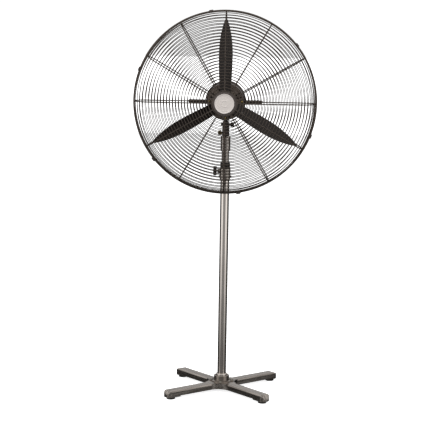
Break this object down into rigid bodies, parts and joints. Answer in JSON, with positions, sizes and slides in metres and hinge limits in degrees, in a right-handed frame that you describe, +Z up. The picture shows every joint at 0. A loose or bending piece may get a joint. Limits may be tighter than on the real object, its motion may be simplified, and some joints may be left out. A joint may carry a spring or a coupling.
{
  "type": "pedestal fan",
  "caption": "Tall floor fan with a round wire cage, narrow metal blades, a telescopic column with a hand clamp, a tilting and swinging head and a cross-shaped foot.",
  "frame": {"origin": "on the floor under the column's axis, the middle of the bounding box's underside", "axes": "+Z up along the column, the fan blows towards -Y, +X is to the right in the front view"},
  "size_m": [0.8076, 0.501, 1.7358],
  "materials": {
    "foot_steel": "brushed",
    "tube_chrome": "bright, lightly brushed",
    "clamp_metal": "satin",
    "zinc": "zinc plated",
    "bearing_steel": "ground",
    "wire_plating": "dark plating",
    "dark_paint": "satin",
    "blade_paint": "satin",
    "badge_silver": "fine satin",
    "brass": "passivated",
    "lamination": "stacked sheets",
    "copper": "varnished winding",
    "rubber": "matt",
    "black_plastic": "fine grain",
    "nylon": "moulded",
    "capacitor_can": "drawn"
  },
  "bodies": {
    "stand": {"leg_cross": "foot_steel", "cross_stiffener": "foot_steel", "foot_pads": "rubber", "foot_studs": "zinc", "column_socket": "foot_steel", "socket_ring": "tube_chrome", "base_bolts": "zinc", "outer_tube": "tube_chrome", "clamp_body": "clamp_metal", "clamp_cap": "black_plastic", "guide_bush": "black_plastic", "clamp_set_screws": "zinc"},
    "clamp_knob": {"clamp_knob": "black_plastic", "clamp_stud": "zinc"},
    "mast": {"inner_tube": "tube_chrome", "mast_foot_bush": "black_plastic", "neck_socket": "tube_chrome"},
    "neck": {"tilt_yoke": "dark_paint", "tilt_bolt": "zinc"},
    "thumb_screw": {"thumb_screw": "brass"},
    "tilt_knob": {"tilt_knob": "black_plastic"},
    "tilt": {"tilt_bracket": "dark_paint", "pivot_screw": "zinc"},
    "head": {"motor_front_cover": "dark_paint", "motor_shell": "dark_paint", "motor_rear_cover": "dark_paint", "stator_core": "lamination", "stator_winding": "copper", "motor_bearings": "bearing_steel", "motor_screws": "brass", "guard_bars": "dark_paint", "rear_guard": "wire_plating", "front_guard": "wire_plating", "badge": "badge_silver", "badge_plate": "dark_paint", "guard_clips": "dark_paint", "clip_screws": "zinc", "gearbox_case": "dark_paint", "gearbox_lid": "dark_paint", "gearbox_screws": "zinc", "pivot_bush": "brass", "switch_box": "black_plastic", "capacitor": "capacitor_can", "cable_gland": "black_plastic"},
    "rotor": {"motor_shaft": "bearing_steel", "rotor_core": "lamination", "blade_hub": "dark_paint", "blade_1": "blade_paint", "blade_2": "blade_paint", "blade_3": "blade_paint", "blade_rivets": "dark_paint", "hub_nut": "zinc", "worm": "bearing_steel"},
    "worm_wheel": {"worm_wheel": "nylon"},
    "crank": {"crank": "bearing_steel"},
    "link_arm": {"link_arm": "bearing_steel"},
    "clutch_knob": {"clutch_knob": "black_plastic"},
    "speed_knob": {"speed_knob": "black_plastic"}
  },
  "joints": [
    {"name": "mast_slide", "type": "slide", "parent": "stand", "child": "mast", "axis": [0, 0, 1], "range_m": [-0.045, 0.35]},
    {"name": "clamp_knob_turn", "type": "hinge", "parent": "stand", "child": "clamp_knob", "pos_m": [-0.045, 0, 1.011], "axis": [-1, 0, 0], "range_deg": [0, 720]},
    {"name": "neck_turn", "type": "hinge", "parent": "mast", "child": "neck", "pos_m": [0, 0, 1.183], "axis": [0, 0, 1], "range_deg": [-180, 180]},
    {"name": "thumb_screw_turn", "type": "hinge", "parent": "neck", "child": "thumb_screw", "pos_m": [-0.026, 0, 1.183], "axis": [-1, 0, 0], "range_deg": [0, 720]},
    {"name": "tilt_knob_turn", "type": "hinge", "parent": "neck", "child": "tilt_knob", "pos_m": [0.026, 0, 1.221], "axis": [1, 0, 0], "range_deg": [0, 360]},
    {"name": "head_tilt", "type": "hinge", "parent": "neck", "child": "tilt", "pos_m": [0, 0, 1.221], "axis": [1, 0, 0], "range_deg": [-30, 12]},
    {"name": "head_swing", "type": "hinge", "parent": "tilt", "child": "head", "pos_m": [0, 0, 1.281], "axis": [0, 0, 1], "range_deg": [-45, 45]},
    {"name": "rotor_spin", "type": "hinge", "parent": "head", "child": "rotor", "pos_m": [0, -0.16, 1.332], "axis": [0, -1, 0], "continuous": true},
    {"name": "worm_wheel_spin", "type": "hinge", "parent": "head", "child": "worm_wheel", "pos_m": [0.022, 0.024, 1.332], "axis": [0, 0, 1], "continuous": true},
    {"name": "crank_turn", "type": "hinge", "parent": "head", "child": "crank", "pos_m": [0.022, 0.024, 1.255], "axis": [0, 0, 1], "range_deg": [-45, 45]},
    {"name": "link_turn", "type": "hinge", "parent": "crank", "child": "link_arm", "pos_m": [0.00726, 0.03751, 1.249], "axis": [0, 0, 1], "range_deg": [-45, 45]},
    {"name": "clutch_pull", "type": "slide", "parent": "head", "child": "clutch_knob", "axis": [0, 0, 1], "range_m": [0, 0.008]},
    {"name": "speed_turn", "type": "hinge", "parent": "head", "child": "speed_knob", "pos_m": [0.008, 0.12, 1.337], "axis": [0, 1, 0], "range_deg": [0, 135]}
  ],
  "couplings": [
    {"joint": "worm_wheel_spin", "follows": "rotor_spin", "ratio": 0.033333},
    {"joint": "crank_turn", "follows": "head_swing", "ratio": -1},
    {"joint": "link_turn", "follows": "head_swing", "ratio": 1}
  ]
}
